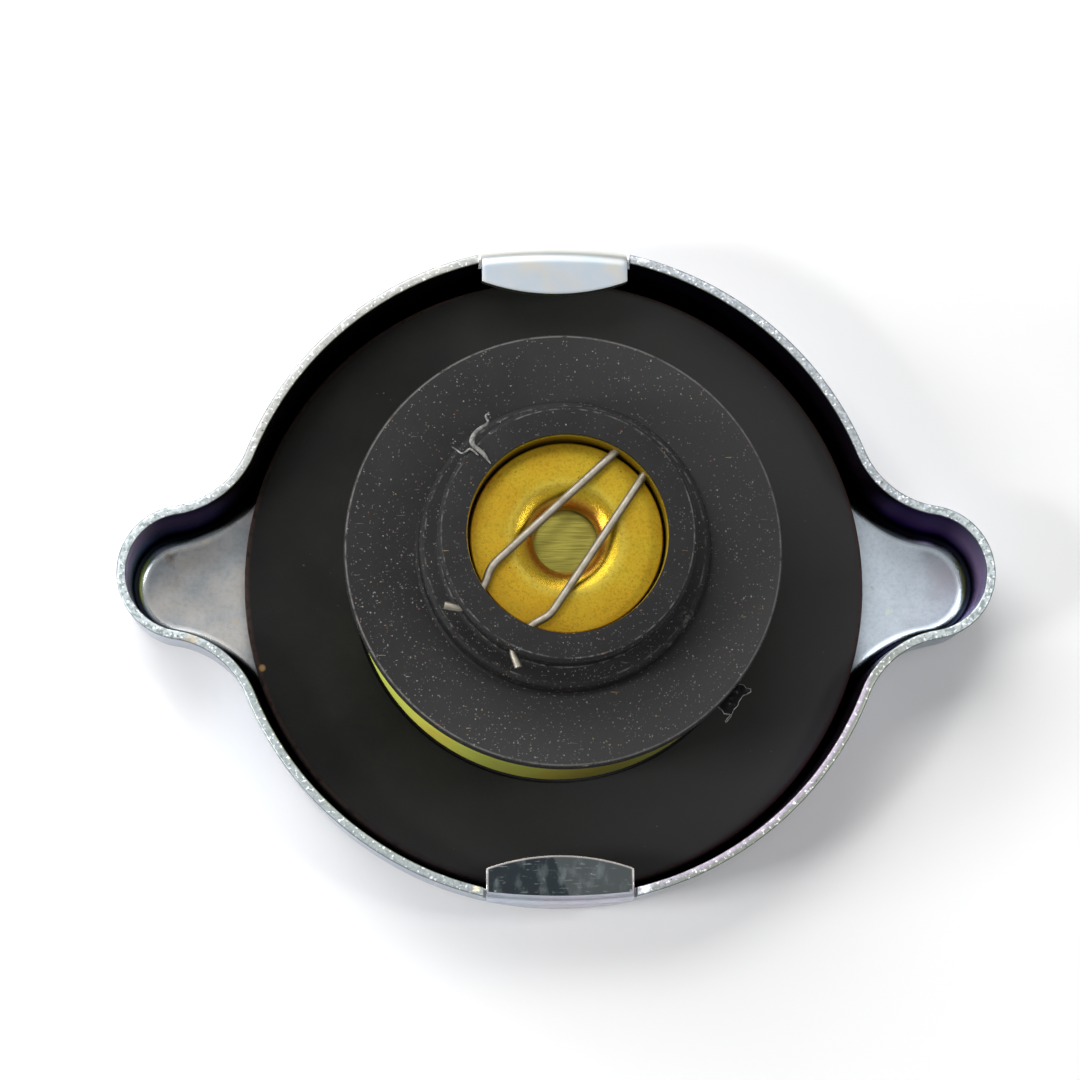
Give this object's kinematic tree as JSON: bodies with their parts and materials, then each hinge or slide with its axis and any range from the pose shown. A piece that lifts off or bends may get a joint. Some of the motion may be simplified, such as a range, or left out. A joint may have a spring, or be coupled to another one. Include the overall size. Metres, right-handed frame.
{
  "type": "radiator cap",
  "caption": "Eared steel radiator cap lying on its face: locking tabs, rubber gasket, spring bell, sliding pressure valve with a rubber disc, and a vacuum valve under a wire clip.",
  "frame": {"origin": "on the cap's axis, in the plane of its outer face, which it lies on", "axes": "+X points along the ears, +Y at a locking tab, +Z from the outer face to the valve"},
  "size_m": [0.0862, 0.0654, 0.0305],
  "materials": {
    "zinc_plated_steel": "bright blue-white zinc plating on pressed sheet, with fine scratches",
    "yellow_chromate_steel": "yellow chromate over zinc, fine satin grain",
    "black_rubber": "matte moulded rubber with pale dust",
    "brushed_brass": "turned and brushed brass",
    "spring_steel": "dull drawn wire"
  },
  "bodies": {
    "shell": {"cap_shell": "zinc_plated_steel", "centre_rivet": "zinc_plated_steel", "rivet_washer": "zinc_plated_steel"},
    "bell": {"friction_spring": "spring_steel", "upper_gasket": "black_rubber", "spring_bell": "yellow_chromate_steel", "main_spring": "spring_steel"},
    "pressure_valve": {"valve_plate": "yellow_chromate_steel", "backing_plate": "yellow_chromate_steel", "valve_seal": "black_rubber", "seal_cup": "yellow_chromate_steel", "vacuum_seat": "black_rubber", "spring_clip": "spring_steel"},
    "vacuum_valve": {"vacuum_disc": "yellow_chromate_steel", "vacuum_stem": "brushed_brass"}
  },
  "joints": [
    {"name": "bell_swivel", "type": "hinge", "parent": "shell", "child": "bell", "pos_m": [0, 0, 0.0041], "axis": [0, 0, 1], "continuous": true},
    {"name": "pressure_valve_slide", "type": "slide", "parent": "bell", "child": "pressure_valve", "axis": [0, 0, -1], "range_m": [0, 0.0032], "stiffness_N_per_m": 4000, "springref_m": -0.008, "deforming": ["main_spring"]},
    {"name": "vacuum_valve_slide", "type": "slide", "parent": "pressure_valve", "child": "vacuum_valve", "axis": [0, 0, 1], "range_m": [0, 0.0012], "stiffness_N_per_m": 400, "springref_m": -0.001, "deforming": ["spring_clip"]}
  ]
}
